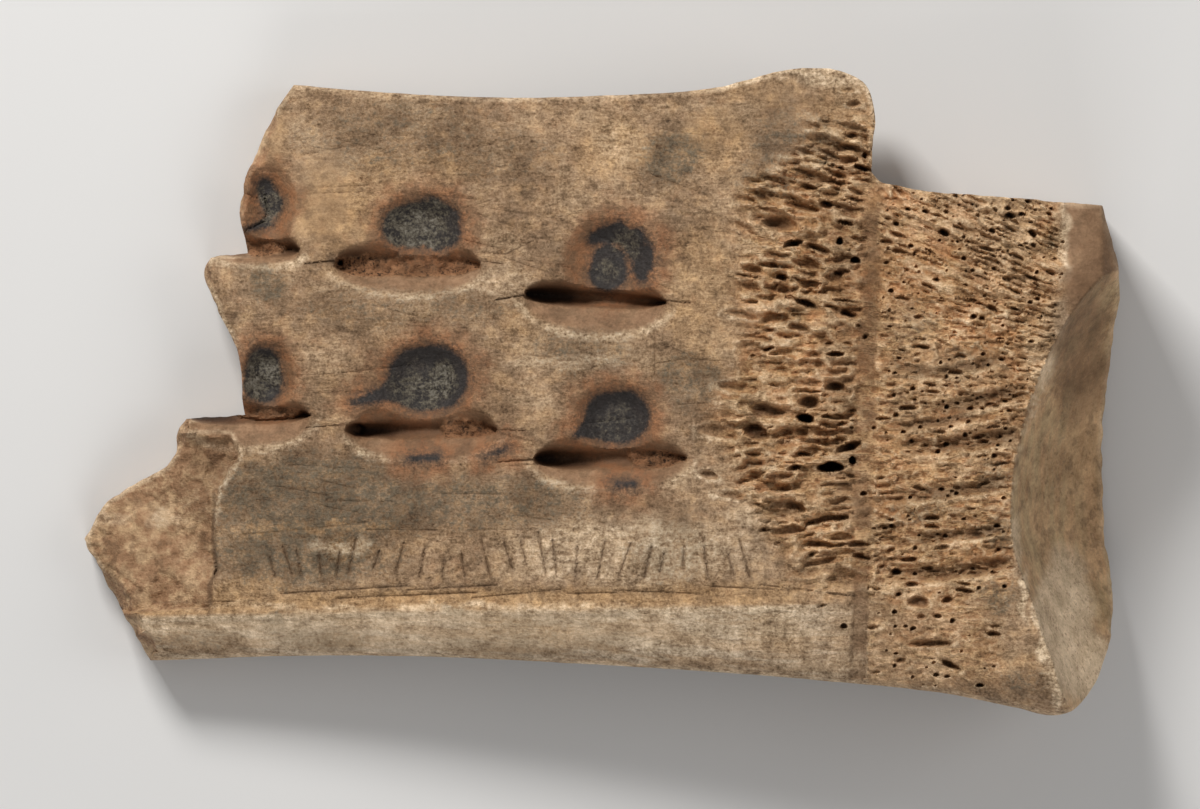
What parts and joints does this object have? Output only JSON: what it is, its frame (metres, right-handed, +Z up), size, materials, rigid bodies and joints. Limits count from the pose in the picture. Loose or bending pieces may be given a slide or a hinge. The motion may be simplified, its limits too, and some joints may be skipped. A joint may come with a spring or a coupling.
{
  "type": "oracle bone",
  "caption": "Broken socket end of an ox shoulder blade, sawn and scraped flat, with chiselled and scorched hollows and open spongy bone.",
  "frame": {"origin": "on the surface that the bone lies on, under the middle of its bounding box", "axes": "+Z up out of the hollowed face, +X towards the joint socket, +Y towards the thin front border and the sawn notch"},
  "size_m": [0.13, 0.0808, 0.0277],
  "materials": {
    "bone": "weathered tan bone, matte, stained grey and brown, scorched black in its hollows"
  },
  "bodies": {
    "root": {"bone": "bone"}
  },
  "joints": []
}
